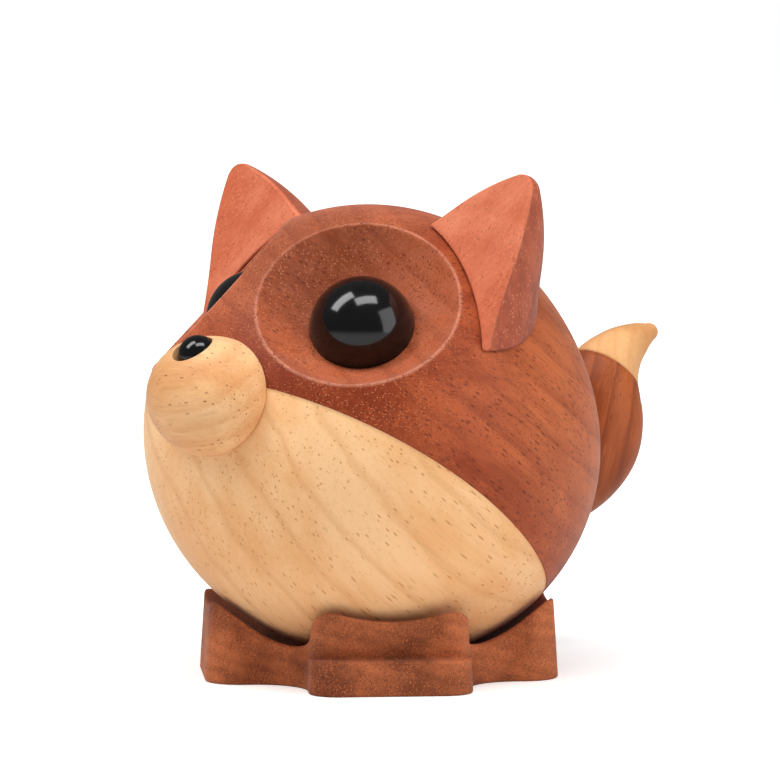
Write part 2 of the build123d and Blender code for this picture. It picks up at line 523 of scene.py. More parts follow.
@dataclass(frozen=True)
class Snout:
    """The pale spheroid that sits on the ball, with the blind hole for the nose bead."""

    ball: Ball
    reach: float = 39.3
    rise: float = 13.0
    half_width: float = 12.6
    radius: float = 10.4
    seat_gap: float = 0.12
    edge_round: float = 0.5
    bead_radius: float = 3.5
    bead_reach: float = 8.0
    bead_rise: float = 65.0
    hole_rise: float = 42.0
    hole_play: float = 0.05
    hole_round: float = 0.18
    edge_zone: float = 0.9
    origin_share: float = 0.45
    columns: int = 320
    rows: tuple[int, ...] = (83, 14, 10)
    march_steps: int = 60
    lip_share: float = 0.3

    @property
    def centre(self) -> Array:
        """The spheroid's centre."""
        return self.ball.middle + face_direction(0, self.rise) * self.reach

    @property
    def bead_centre(self) -> Array:
        """The bead's centre."""
        return self.centre + face_direction(0, self.bead_rise) * self.bead_reach

    def outside(self, points: Array) -> Array:
        """Value of the spheroid's equation: (x / a)^2 + (y^2 + z^2) / b^2 - 1."""
        arms = points - self.centre
        across = (arms[..., 0] / self.half_width) ** 2
        return across + (arms[..., 1:] ** 2).sum(-1) / self.radius**2 - 1

    def spheroid_reach(self, origin: Array, rays: Array) -> Array:
        """Distance from a point inside to the spheroid along unit rays, by quadratic equation."""
        weights = np.array([self.half_width, self.radius, self.radius]) ** -2.0
        arm = origin - self.centre
        square = (rays**2 * weights).sum(-1)
        mixed = (rays * arm * weights).sum(-1)
        rest = (arm**2 * weights).sum() - 1
        return (-mixed + np.sqrt(mixed**2 - square * rest)) / square

    def seat_reach(self, origin: Array, rays: Array) -> Array:
        """Distance from a point before the ball to its seat surface along unit rays, by halving.

        Rays that miss the ball get a large distance.
        """
        gap = self.seat_gap
        steps = np.linspace(0, 2 * self.half_width, self.march_steps)
        depth = np.stack([self.ball.depth(origin + rays * step) for step in steps])
        hit = depth < gap
        first = np.argmax(hit, axis=0)
        high = steps[first]
        low = steps[np.maximum(first - 1, 0)]
        found = bisect(lambda d: self.ball.depth(origin + rays * d[..., None]) > gap, low, high, 30)
        return np.where(hit.any(axis=0), found, 4 * self.half_width)

    @staticmethod
    def charted(rays: Array, line: Array, over: Array) -> Array:
        """Unit rays on a flat chart about the snout's line, each laid off by its angle from it."""
        level = np.stack([rays @ SIDEWAYS, rays @ over], axis=-1)
        angle = np.arccos(np.clip(rays @ line, -1, 1))
        return unit(level) * angle[..., None]

    def hole(self) -> tuple[list[Array], Array]:
        """Rows from the middle of the hole's bottom up its wall, and the loop outside its edge."""
        hole_line = face_direction(0, self.hole_rise)
        hole_radius = self.bead_radius + self.hole_play
        around = ring(full_turn(self.columns), SIDEWAYS, np.cross(SIDEWAYS, hole_line))

        def cylinder(radius: float, along: Array) -> Array:
            return self.bead_centre + around * radius + hole_line * along[:, None]

        def mouth(radius: float) -> Array:
            low, high = np.full(self.columns, -1.0), 2 * self.radius
            return bisect(lambda along: self.outside(cylinder(radius, along)) < 0, low, high)

        top, soft = mouth(hole_radius), self.hole_round
        lip = self.lip_share * soft
        bottom = np.full(self.columns, -self.bead_radius)
        wall = [cylinder(hole_radius * share, bottom) for share in (0.0, 0.6, 1.0)]
        wall += [cylinder(hole_radius, h) for h in ((bottom + top) / 2, top - 2 * soft, top - soft)]
        wall += [cylinder(hole_radius + lip, top - lip)]
        return wall, cylinder(hole_radius + soft, mouth(hole_radius + soft))

    def shell(self) -> Shell:
        """Rows run from the hole's bottom up its wall, over its edge and back to the seat's middle.

        On the chart about the snout's line the hole's rim is a small loop and the line's far end is
        the circle of radius pi, so straight stretches from the loop to that circle cover the form.
        """
        wall, start = self.hole()
        line = face_direction(0, self.rise)
        over = np.cross(SIDEWAYS, line)
        origin = self.centre + line * self.origin_share * self.radius
        begin = self.charted(unit(start - origin), line, over)
        hub = begin.mean(axis=0)
        arm = begin - hub
        size, lean, rest = (arm**2).sum(-1), arm @ hub, hub @ hub - np.pi**2
        border = hub + arm * ((-lean + np.sqrt(lean**2 - size * rest)) / size)[:, None]
        stretch = np.linalg.norm(border - begin, axis=-1)

        def rays(share: Array) -> Array:
            place = begin + (border - begin) * share[..., None]
            angle = np.linalg.norm(place, axis=-1)[..., None]
            level = (place[..., :1] * SIDEWAYS + place[..., 1:] * over) / np.maximum(angle, 1e-9)
            return np.cos(angle) * line + np.sin(angle) * level

        def before_seat(share: Array) -> Array:
            lines = rays(share)
            return self.spheroid_reach(origin, lines) < self.seat_reach(origin, lines)

        edge = bisect(before_seat, np.zeros(self.columns), 0.98, 26)
        zone = self.edge_zone / self.radius / stretch
        lines = rays(rows_over(edge, zone, self.rows, (1.0, 1.0)))
        spheroid, seat = self.spheroid_reach(origin, lines), self.seat_reach(origin, lines)
        reach = soft_min(spheroid, seat, self.edge_round)
        outer = origin + lines * reach[..., None]
        outer[-1] = outer[-1].mean(axis=0)
        return Shell("snout_turned", (np.concatenate([wall, outer]),))

    def bead(self, columns: int = 96, rows: int = 49) -> Shell:
        """The nose bead: a sphere, its half circles from pole to pole turned about the upright."""
        around = ring(full_turn(columns), SIDEWAYS, np.cross(UPWARD, SIDEWAYS))
        sphere = ring(np.linspace(0, np.pi, rows)[:, None], UPWARD, around)
        return Shell("nose_bead_gloss", (self.bead_centre + self.bead_radius * sphere,))


@dataclass(frozen=True)
class Ear:
    """A turned point, cut flat just ahead of its axis and hollowed below to sit on the ball.

    The cut leans a little: it lies further ahead of the axis towards the root.
    """

    ball: Ball
    half_width: float = 13.66
    length: float = 31.5
    tip_round: float = 3.2
    flare: float = 5.99
    flare_height: float = 18.0
    front: float = 1.91
    front_slope: float = 0.11
    front_height: float = 22.0
    root: Triple = (19.57, -3.68, 20.14)
    splay: float = 32.26
    lean: float = 13.16
    turn: float = 3.39
    gap: float = 0.3
    edge_round: float = 0.45
    thin_round_share: float = 0.35
    thin_flat_share: float = 0.98
    seat_limit: float = 0.97
    seat_inset: float = 0.6
    seat_step: float = 0.3
    shade_start: float = 0.25
    shade_full: float = 0.7
    rows: int = 90
    floor_rows: int = 7
    column_counts: tuple[int, ...] = (8, 72, 8, 40)

    @property
    def axes(self) -> Array:
        """Rotation from the ear's own frame: X across, Y back, Z along it."""
        return turned((0, 0, -self.turn)) @ turned((-self.lean, 0, 0)) @ turned((0, self.splay, 0))

    def half_section(self, height: Array) -> Array:
        """Radius of the turned form: an arc, flared at the root, that ends in the tip's round.

        The arc is sqrt(A^2 - h^2) - (A - w), with A so that it runs into the tip's circle. Below
        the flare's height f it grows by s * (1 - h / f)^2.
        """
        flat = self.length**2 + self.half_width**2 - 2 * self.length * self.tip_round
        arc = flat / (2 * (self.half_width - self.tip_round))
        side = arc - self.half_width
        middle = self.length - self.tip_round
        change = middle * (1 + self.tip_round / (arc - self.tip_round))
        body = np.sqrt(np.maximum(arc**2 - height**2, 0)) - side
        tip = np.sqrt(np.maximum(self.tip_round**2 - (height - middle) ** 2, 0))
        flare = self.flare * np.maximum(1 - height / self.flare_height, 0) ** 2
        return np.where(height < change, body, tip) + flare

    def section(self, height: Array, inset: Array | float) -> Array:
        """The section's points for each column: a circle cut flat in front, its corners rounded.

        Args:
            height: heights, rows by columns.
            inset: how far the outline is moved in.

        Returns:
            Points in the ear's own frame.
        """
        radius = np.maximum(self.half_section(height) - inset, 0)
        corner = np.minimum(self.edge_round, self.thin_round_share * radius)
        ahead = self.front + self.front_slope * (self.front_height - height)
        front = np.minimum(ahead - inset, self.thin_flat_share * radius)
        low = corner - front
        reach = np.sqrt(np.maximum((radius - corner) ** 2 - low**2, 0))
        lift = np.arcsin(np.clip(low / np.maximum(radius - corner, 1e-9), -1, 1))
        kind, share = self.column_plan
        quarter = np.pi / 2
        first = -quarter + share * (quarter + lift)
        wide = lift + share * (np.pi - 2 * lift)
        last = np.pi - lift + share * (quarter + lift)
        right = [reach + corner * np.cos(first), low + corner * np.sin(first), height]
        back = [radius * np.cos(wide), radius * np.sin(wide), height]
        left = [-reach + corner * np.cos(last), low + corner * np.sin(last), height]
        flat = [-reach + 2 * reach * share, -front, height]
        stretches = [np.stack(parts, -1) for parts in (right, back, left, flat)]
        return np.select([kind[:, None] == k for k in range(len(stretches))], stretches)

    @property
    def column_plan(self) -> tuple[Array, Array]:
        """For each column its stretch (corner, back, corner, flat) and its share along it."""
        counts = self.column_counts
        kind = np.repeat(np.arange(len(counts)), counts)
        share = np.concatenate([np.arange(count) / count for count in counts])
        flat = kind == len(counts) - 1
        share[flat] = 0.5 - 0.5 * np.cos(np.pi * share[flat])
        return kind, share

    def placed(self, points: Array) -> Array:
        """Points of the ear's own frame in the fox's frame."""
        return self.ball.middle + np.array(self.root) + points @ self.axes.T

    def back_shade_zone(self, side: int, radius: float = 300.0) -> Zone:
        """The region of painted shade behind the flat front, where the ear's rounded back is
        darkened, as a ball so wide that it is nearly flat there.
        """
        on_front = np.array([0.0, -self.front, self.front_height])
        behind = on_front + radius * unit([0.0, 1.0, -self.front_slope])
        centre = mirrored(self.placed(behind), side)
        return Zone(tuple(centre.tolist()), radius - self.shade_full, radius - self.shade_start)

    def shell(self, name: str, side: int) -> Shell:
        """Rows run from the seat's middle out to its edge and up to the tip.

        Args:
            name: the piece's name.
            side: 1 for the left ear, -1 for the right one.

        Returns:
            The closed surface.
        """
        columns = len(self.column_plan[0])

        def buried(height: Array, inset: float) -> Array:
            return self.ball.depth(self.placed(self.section(height[None], inset)[0])) < self.gap

        def seat(inset: float) -> Array:
            high = self.length * self.seat_limit
            return bisect(lambda height: buried(height, inset), np.zeros(columns), high)

        soft, step, foot = self.edge_round, self.seat_step, seat(0.0)
        inset = self.seat_inset * soft
        share = np.sin(np.linspace(0, np.pi / 2, self.rows))[:, None]
        sides = (foot + 2 * soft) * (1 - share) + self.length * share
        rows = [
            self.section(seat(inset)[None], inset),
            self.section((foot + step * soft)[None], step * inset),
            self.section((foot + soft)[None], 0.0),
            self.section(sides, 0.0),
        ]
        points = self.placed(np.concatenate(rows))
        points[-1] = points[-1].mean(axis=0)
        floor = self.ball.seat(points[0], self.floor_rows, self.gap)
        return Shell(name, (mirrored(np.concatenate([floor, points]), side),))


@dataclass(frozen=True)
class Tail:
    """Round sections swelling along a curved middle line, with a pale tip glued on at a slant."""

    ball: Ball
    back: float = 57.0
    radius: float = 8.5
    line_shares: tuple[Triple, ...] = (
        (0.610, -0.300, 0.56),
        (0.690, -0.300, 0.58),
        (0.765, -0.262, 0.64),
        (0.855, -0.222, 0.78),
        (0.925, -0.168, 0.91),
        (0.980, -0.100, 0.99),
        (1.000, -0.030, 1.00),
        (1.005, 0.060, 0.94),
        (1.035, 0.135, 0.80),
        (1.100, 0.195, 0.58),
        (1.180, 0.235, 0.37),
        (1.245, 0.255, 0.20),
    )
    joint_back_share: float = 1.035
    joint_up_share: float = 0.137
    joint_tilt: float = 40.0
    seat_gap: float = 0.12
    cap_share: float = 0.1
    seat_limit: float = 0.4
    split_start: float = 0.45
    tip_crowding: float = 0.85
    slope_step: float = 1e-3
    columns: int = 120
    body_rows: int = 110
    tip_rows: int = 90
    floor_rows: int = 4

    @property
    def joint(self) -> tuple[Array, Array]:
        """A point on the joint plane and its unit normal."""
        tilt = math.radians(self.joint_tilt)
        shares = np.array([0.0, self.joint_back_share, self.joint_up_share])
        normal = np.array([0.0, math.sin(tilt), math.cos(tilt)])
        return self.ball.middle + self.back * shares, normal

    def spine(self, share: Array) -> tuple[Array, Array]:
        """Middle line and radius at shares of its length, by cubic pieces through the table.

        Each piece runs from one point to the next with slopes of half the distance between their
        neighbours; past the last point the radius closes as a circle does.
        """
        table = np.array(self.line_shares)
        last = len(table) - 1
        slope = np.gradient(table, axis=0)
        place = np.clip(share, 0, 1) * last
        piece = np.minimum(place.astype(int), last - 1)
        t = (place - piece)[..., None]
        start, end = table[piece], table[piece + 1]
        out, into = slope[piece], slope[piece + 1]
        curve = (2 * t**3 - 3 * t**2 + 1) * start + (t**3 - 2 * t**2 + t) * out
        curve += (3 * t**2 - 2 * t**3) * end + (t**3 - t**2) * into
        places = np.stack([0 * curve[..., 0], curve[..., 0], curve[..., 1]], -1)
        return self.ball.middle + self.back * places, self.radius * curve[..., 2]

    def skin(self, share: Array, turn: Array) -> Array:
        """Points of the tail's surface: the spine's point plus r * (cos b * X + sin b * normal).

        Shares above 1 run over the round cap at the end, which takes cap_share.
        """
        place = np.clip(share, 0, 1)
        middle, radius = self.spine(place)
        steps = (self.slope_step, -self.slope_step)
        ahead, behind = (self.spine(np.clip(place + step, 0, 1))[0] for step in steps)
        along = unit(ahead - behind)
        around = ring(turn, SIDEWAYS, np.cross(along, SIDEWAYS))
        over = np.clip((share - 1) / self.cap_share, 0, 1) * np.pi / 2
        return middle + radius[..., None] * ring(over, around, along)

    def shells(self) -> tuple[Shell, Shell]:
        """The red piece from its seat to the joint plane, and the pale one from there on."""
        turn = full_turn(self.columns)
        joint, normal = self.joint
        start = bisect(
            lambda share: self.ball.depth(self.skin(share, turn)) < self.seat_gap,
            np.zeros(self.columns),
            self.seat_limit,
        )
        split = bisect(
            lambda share: (self.skin(share, turn) - joint) @ normal < 0,
            np.full(self.columns, self.split_start),
            1.0,
        )
        body_share = start + (split - start) * np.linspace(0, 1, self.body_rows)[:, None]
        onward = np.linspace(0, 1, self.tip_rows)[:, None] ** self.tip_crowding
        tip_share = split + (1 + self.cap_share - split) * onward
        shares = (body_share, tip_share)
        body_rows, tip_rows = (
            self.skin(share, np.broadcast_to(turn, share.shape)) for share in shares
        )
        tip_rows[-1] = tip_rows[-1].mean(axis=0)
        seat = self.ball.seat(body_rows[0], self.floor_rows, self.seat_gap)
        face = fan(body_rows[-1], self.floor_rows)
        body, tip = np.concatenate([seat, body_rows, face[::-1]]), np.concatenate([face, tip_rows])
        return Shell("tail_body_wood", (body,)), Shell("tail_tip_wood", (tip,))


@dataclass(frozen=True)
class Foot:
    """The four-lobed block with drafted walls, softened edges and a cup.

    The front lobe is scooped above its toe: its wall steps in at the toe's height and leans out
    again up to the top.
    """

    ball_height: float
    reach: float = 31.0
    half_width: float = 14.2
    corner: float = 6.0
    toe_corner: float = 5.0
    upper_corner: float = 4.2
    root_round: float = 8.8
    height: float = 14.9
    draft: float = 3.5
    turn: float = 50.7
    cup_radius: float = 41.81
    cup_floor: float = 2.2
    toe_height: float = 6.0
    toe_step: float = 3.6
    crest_round: float = 1.5
    edge_round: float = 0.45
    arc_points: int = 14
    straight_points: int = 22
    margin_share: float = 1.6
    step_shares: Pair = (0.25, 0.4)
    round_rows: int = 6
    toe_rows: int = 8
    upper_rows: int = 9
    cup_rows: int = 20

    def outline(self, front: float, front_corner: float) -> tuple[Array, Array]:
        """The cross-shaped plan with rounded corners, and its outward normals.

        A corner of radius R starts and ends R away from the sharp corner; a point on it with
        heading a is the arc's centre plus R * (sin a, -cos a), turned the other way in a hollow.

        Args:
            front: reach of the front lobe.
            front_corner: radius of that lobe's corners.

        Returns:
            Points and unit normals, each an array of columns by 2.
        """
        w, r = self.half_width, self.reach
        corners = np.array([(w, -front), (w, -w), (r, -w), (r, w), (w, w), (w, r),
                            (-w, r), (-w, w), (-r, w), (-r, -w), (-w, -w), (-w, -front)])
        hollow = np.arange(len(corners)) % 3 == 1
        radius = np.where(hollow, self.root_round, self.corner)
        radius[[0, -1]] = front_corner
        into = unit(corners - np.roll(corners, 1, axis=0))
        out = unit(np.roll(corners, -1, axis=0) - corners)
        sign = np.where(hollow, -1.0, 1.0)[:, None]
        centre = corners + (out - into) * radius[:, None]
        heading = np.arctan2(into[:, 1], into[:, 0])
        share = np.linspace(0, 1, self.arc_points)
        angle = heading[:, None] + sign * share * np.pi / 2
        normal = np.stack([np.sin(angle), -np.cos(angle)], -1)
        arcs = centre[:, None] + sign[..., None] * radius[:, None, None] * normal
        next_start = np.roll(arcs[:, 0], -1, axis=0)
        even = np.linspace(0, 1, self.straight_points + 2)[1:-1, None]
        along = 0.5 - 0.5 * np.cos(np.pi * even)
        straight = arcs[:, -1:, :] * (1 - along) + next_start[:, None] * along
        flat = np.repeat(normal[:, -1:], self.straight_points, axis=1)
        points = np.concatenate([arcs, straight], axis=1).reshape(-1, 2)
        return points, np.concatenate([normal, flat], axis=1).reshape(-1, 2)

    def top(self, plan: Array) -> Array:
        """Height of the top over plan points: the lower of the block's top and the cup's sphere."""
        out = (plan**2).sum(-1)
        cup = self.ball_height - np.sqrt(np.maximum(self.cup_radius**2 - out, 0))
        crest = soft_min(cup, self.height, self.crest_round)
        return np.maximum(crest, self.cup_floor)

    def shell(self) -> Shell:
        """Rows run from the middle of the underside up the walls and over the edge into the cup."""
        wide, normal = self.outline(self.reach, self.toe_corner)
        narrow, inner_normal = self.outline(self.reach - self.toe_step, self.upper_corner)
        slope = math.tan(math.radians(self.draft))
        soft, margin = self.edge_round, self.margin_share * self.edge_round
        under, over = self.step_shares
        size = np.linalg.norm(narrow - wide, axis=1) / self.toe_step
        quarter = np.linspace(0, np.pi / 2, self.round_rows)

        def wall(height: Array | float, inset: Array | float = 0.0) -> Array:
            height = np.broadcast_to(height, len(wide))
            plan = wide - normal * (slope * height + inset)[:, None]
            return np.concatenate([plan, height[:, None]], axis=1)

        def upper(height: Array | float, inset: Array | float = 0.0) -> Array:
            height = np.broadcast_to(height, len(narrow))
            scoop = np.clip((self.height - height) / (self.height - self.toe_height), 0, 1)[:, None]
            plan = narrow * scoop + wide * (1 - scoop)
            plan = plan - inner_normal * (slope * height + inset)[:, None]
            return np.concatenate([plan, height[:, None]], axis=1)

        def rounded(face: Callable, height: Array | float, radius: Array | float) -> list[Array]:
            turns = [(1 - math.sin(a), 1 - math.cos(a)) for a in quarter]
            return [face(height - radius * down, radius * inset) for down, inset in turns]

        ledge, crest = self.toe_height, self.top(upper(self.height, soft)[:, :2])
        rows = [wall(0.0, soft) * np.array([share, share, 1]) for share in (0.0, 0.5, 0.9)]
        rows += [wall(soft * (1 - math.sin(a)), soft * (1 - math.cos(a))) for a in quarter[::-1]]
        rows += [wall(height) for height in np.linspace(margin, ledge - margin, self.toe_rows)]
        rows += rounded(wall, ledge, soft * size)
        start, end = rows[-1], upper(ledge, -under * soft * size)
        rows += [start * (1 - share) + end * share for share in (0.3, 0.7, 1.0)]
        rows += [upper(ledge + over * soft * size)]
        climb = crest - margin - ledge
        rows += [upper(ledge + climb * share) for share in np.linspace(0.08, 1, self.upper_rows)]
        rows += rounded(upper, crest, soft)
        shares = np.concatenate([[0.985], np.linspace(0.96, 0.0, self.cup_rows)])
        cup = rows[-1][None, :, :2] * shares[:, None, None]
        rows += [np.concatenate([plan, self.top(plan)[:, None]], axis=1) for plan in cup]
        return Shell("foot_carved", (np.stack(rows) @ turned((0, 0, self.turn)).T,))


def linear(red: float, green: float, blue: float) -> tuple[float, float, float, float]:
    """A display colour from 0 to 255 as the linear one of nodes: ((c + 0.055) / 1.055)^2.4."""
    shares = np.array([red, green, blue]) / 255
    low, high = shares / 12.92, ((shares + 0.055) / 1.055) ** 2.4
    return (*np.where(shares < 0.04045, low, high).tolist(), 1.0)


@dataclass
class Sheet:
    """A material's node tree, with a short call for each node that the finishes use."""

    tree: bpy.types.NodeTree

    def add(self, kind: str, inputs: dict | None = None, **settings: object) -> bpy.types.Node:
        """Adds a node, sets its properties and feeds its inputs."""
        node = self.tree.nodes.new(kind)
        for name, value in settings.items():
            setattr(node, name, value)
        self.feed(node, inputs or {})
        return node

    def feed(self, node: bpy.types.Node, inputs: dict) -> None:
        """Links each input, given by name or number, if its value is a socket, and else sets it."""
        for key, value in inputs.items():
            if isinstance(value, bpy.types.NodeSocket):
                self.tree.links.new(value, node.inputs[key])
            else:
                node.inputs[key].default_value = value

    def math(self, operation: str, *values: object) -> Socket:
        """One math node on its values and sockets, in order."""
        return self.add("ShaderNodeMath", dict(enumerate(values)), operation=operation).outputs[0]

    def times(self, first: object, second: object) -> Socket:
        """The product of two values."""
        return self.math("MULTIPLY", first, second)

    def scaled(self, value: object, factor: object, offset: object) -> Socket:
        """The value times a factor, plus an offset."""
        return self.math("MULTIPLY_ADD", value, factor, offset)

    def step(self, value: object, low: float, high: float) -> Socket:
        """Smooth step from 0 at low to 1 at high; low may be the greater."""
        ends = (low, high, 0.0, 1.0) if low < high else (high, low, 1.0, 0.0)
        inputs = dict(zip(("Value", "From Min", "From Max", "To Min", "To Max"), (value, *ends)))
        return self.add("ShaderNodeMapRange", inputs, interpolation_type="SMOOTHSTEP").outputs[0]

    def coordinates(self) -> Socket:
        """Object coordinates, in metres."""
        return self.add("ShaderNodeTexCoord").outputs["Object"]

    def place(self, grain: Grain, size: Triple) -> Socket:
        """Object coordinates in the wood's frame, counted in cells of the given size."""
        inputs = {
            "Vector": self.coordinates(),
            "Location": [value * MM for value in grain.origin],
            "Rotation": grain.euler,
            "Scale": [value * MM for value in size],
        }
        return self.add("ShaderNodeMapping", inputs, vector_type="TEXTURE").outputs[0]

    def noise(self, vector: Socket, detail: float = 2.0, rough: float = 0.5) -> Socket:
        """Noise of one cell per unit."""
        inputs = {"Vector": vector, "Scale": 1.0, "Detail": detail, "Roughness": rough}
        return self.add("ShaderNodeTexNoise", inputs).outputs[0]

    def cells(self, vector: Socket) -> Socket:
        """Distance to the nearest scattered point, one point per unit cell."""
        inputs = {"Vector": vector, "Scale": 1.0}
        return self.add("ShaderNodeTexVoronoi", inputs, feature="F1").outputs["Distance"]

    def mix(self, share: object, first: object, second: object) -> Socket:
        """Colour between two, by share."""
        inputs = {"Factor": share, MIX_FIRST: first, MIX_SECOND: second}
        return self.add("ShaderNodeMix", inputs, data_type="RGBA").outputs[MIX_RESULT]


def new_material(name: str) -> tuple[bpy.types.Material, Sheet]:
    """A material with a node tree, and the sheet that its nodes are put on."""
    material = bpy.data.materials.new(name)
    material.use_nodes = True
    return material, Sheet(material.node_tree)


@dataclass(frozen=True)
class Grain:
    """How the wood lies in a piece: along the fibre, across its year rings, and where it starts."""

    fibre: Triple
    ring: Triple
    origin: Triple = (0.0, 0.0, 0.0)

    @property
    def euler(self) -> Triple:
        """Angles of the frame whose Z runs along the fibre and whose X runs across the rings."""
        along = unit(self.fibre)
        across = unit(np.array(self.ring) - (np.array(self.ring) @ along) * along)
        frame = Matrix(np.stack([across, np.cross(along, across), along], axis=1).tolist())
        return tuple(frame.to_euler("XYZ"))


@dataclass(frozen=True)
class Zone:
    """A soft round region: full within the inner distance of its centre, gone past the outer."""

    centre: Triple
    inner: float
    outer: float

    def share(self, sheet: Sheet) -> Socket:
        """1 inside the region, 0 outside."""
        ends = {0: sheet.coordinates(), 1: [value * MM for value in self.centre]}
        distance = sheet.add("ShaderNodeVectorMath", ends, operation="DISTANCE").outputs["Value"]
        return sheet.step(distance, self.outer * MM, self.inner * MM)


@dataclass(frozen=True)
class Tint:
    """A change of colour in a region, broken up by soft noise; some tints are painted highlights
    and painted shade.
    """

    zone: Zone
    colour: Triple
    strength: float


@dataclass(frozen=True)
class Dashes:
    """Long grains scattered along the fibre, as dark pores or light flecks.

    Each is an ellipsoid in its cell; a wide noise thins them in patches, and a zone may bound them.
    """

    cell: Triple
    radius: float
    colour: Triple
    strength: float
    thinning: float
    zone: Zone | None = None
    patch_cell: Triple = (4.0, 4.0, 14.0)
    core: float = 0.55
    patch_edges: Pair = (-0.08, 0.12)

    def share(self, sheet: Sheet, grain: Grain) -> Socket:
        """1 in a grain, 0 between them."""
        cells = sheet.cells(sheet.place(grain, self.cell))
        grains = sheet.step(cells, self.radius, self.radius * self.core)
        patch = sheet.noise(sheet.place(grain, self.patch_cell), detail=1.0)
        kept = sheet.step(patch, *(self.thinning + edge for edge in self.patch_edges))
        share = sheet.times(sheet.times(grains, kept), self.strength)
        return sheet.times(share, self.zone.share(sheet)) if self.zone else share


@dataclass(frozen=True)
class Rings:
    """Year lines: a colour that rises sharply at each line and fades away from it."""

    spacing: float
    colour: Triple
    strength: float
    shift: float = 0.0
    fade: float = 0.6
    rise: float = 0.08
    falloff: float = 1.6
    waver: float = 0.9
    waver_cell: Triple = (9.0, 9.0, 40.0)

    def share(self, sheet: Sheet, grain: Grain) -> Socket:
        """Share of the line's colour: the greater of its fade behind and its rise ahead."""
        split = sheet.add("ShaderNodeSeparateXYZ", {0: sheet.place(grain, (self.spacing,) * 3)})
        wobble = sheet.noise(sheet.place(grain, self.waver_cell))
        place = sheet.scaled(wobble, self.waver, self.shift - self.waver / 2)
        part = sheet.math("FRACT", sheet.math("ADD", split.outputs[0], place))
        rise = sheet.step(part, 1 - self.rise, 1.0)
        fade = sheet.math("POWER", sheet.step(part, self.fade, 0.0), self.falloff)
        return sheet.times(sheet.math("MAXIMUM", rise, fade), self.strength)


@dataclass(frozen=True)
class Wood:
    """A satin wood that is solid through the piece.

    From wide to fine: patches between two tones, tints by region (among them painted highlights
    and painted shade), year rings, streaks along the fibre, and dashes. The same streaks and dashes
    also drive the bump and the roughness. Each range holds the noise values between which that
    noise takes effect.
    """

    name: str
    grain: Grain
    dark: Triple
    light: Triple
    rings: Rings | None = None
    tints: tuple[Tint, ...] = ()
    dashes: tuple[Dashes, ...] = ()
    streak: float = 0.35
    streak_cell: Triple = (0.5, 0.5, 14.0)
    patch_cell: Triple = (11.0, 11.0, 34.0)
    breakup_cell: Triple = (3.0, 3.0, 12.0)
    patch_range: Pair = (0.32, 0.68)
    breakup_range: Pair = (0.2, 0.7)
    dark_range: Pair = (0.5, 0.25)
    light_range: Pair = (0.52, 0.8)
    breakup: float = 0.35
    darker: float = 0.72
    lighter: float = 1.16
    streak_height: float = 0.35
    dash_depth: float = 0.6
    rough_spread: float = 0.2
    rough: float = 0.5
    shine: float = 0.25
    bump: float = 0.12
    bump_depth: float = 0.35
    sheen: float = 0.12
    sheen_rough: float = 0.35

    def figure(self, sheet: Sheet) -> tuple[Socket, Socket, Socket]:
        """The wood's colour, the height of its surface and its streaks."""
        dark, light = linear(*self.dark), linear(*self.light)
        patches = sheet.noise(sheet.place(self.grain, self.patch_cell), detail=3.0, rough=0.55)
        colour = sheet.mix(sheet.step(patches, *self.patch_range), dark, light)
        breakup = sheet.noise(sheet.place(self.grain, self.breakup_cell), detail=3.0, rough=0.6)
        breakup = sheet.step(breakup, *self.breakup_range)
        for tint in self.tints:
            ends = (self.breakup * tint.strength, (1 - self.breakup) * tint.strength)
            strength = sheet.scaled(breakup, *ends)
            share = sheet.times(tint.zone.share(sheet), strength)
            colour = sheet.mix(share, colour, linear(*tint.colour))
        if self.rings:
            share = self.rings.share(sheet, self.grain)
            colour = sheet.mix(share, colour, linear(*self.rings.colour))
        streaks = sheet.noise(sheet.place(self.grain, self.streak_cell), detail=3.0, rough=0.6)
        streak_dark = linear(*[self.darker * value for value in self.dark])
        streak_light = linear(*[min(self.lighter * value, 255) for value in self.light])
        for ends, streak in ((self.dark_range, streak_dark), (self.light_range, streak_light)):
            share = sheet.times(sheet.step(streaks, *ends), self.streak)
            colour = sheet.mix(share, colour, streak)
        height = sheet.times(streaks, self.streak_height)
        for dash in self.dashes:
            share = dash.share(sheet, self.grain)
            colour = sheet.mix(share, colour, linear(*dash.colour))
            height = sheet.math("SUBTRACT", height, sheet.times(share, self.dash_depth))
        return colour, height, streaks

    def material(self) -> bpy.types.Material:
        """Builds the finish."""
        material, sheet = new_material(self.name)
        colour, height, streaks = self.figure(sheet)
        depth = {"Strength": self.bump, "Distance": self.bump_depth * MM, "Height": height}
        low_rough = self.rough - self.rough_spread / 2
        finish = {
            "Base Color": colour,
            "Roughness": sheet.scaled(streaks, self.rough_spread, low_rough),
            "Specular IOR Level": self.shine,
            "Sheen Weight": self.sheen,
            "Sheen Roughness": self.sheen_rough,
            "Normal": sheet.add("ShaderNodeBump", depth).outputs["Normal"],
        }
        sheet.feed(sheet.tree.nodes["Principled BSDF"], finish)
        return material


@dataclass(frozen=True)
class Gloss:
    """Black gloss with a faint unevenness of the polish."""

    name: str
    colour: Triple = (9.0, 9.0, 10.0)
    polished: float = 1.6
    polish_cell: Triple = (2.5, 2.5, 2.5)
    rough: float = 0.1
    rough_spread: float = 0.05

    def material(self) -> bpy.types.Material:
        """Builds the finish."""
        material, sheet = new_material(self.name)
        level = Grain((0, 0, 1), (1, 0, 0))
        polish = sheet.noise(sheet.place(level, self.polish_cell), detail=3.0)
        low, high = linear(*self.colour), linear(*[self.polished * value for value in self.colour])
        finish = {
            "Base Color": sheet.mix(polish, low, high),
            "Roughness": sheet.scaled(polish, self.rough_spread, self.rough),
            "Specular IOR Level": 0.5,
        }
        sheet.feed(sheet.tree.nodes["Principled BSDF"], finish)
        return material


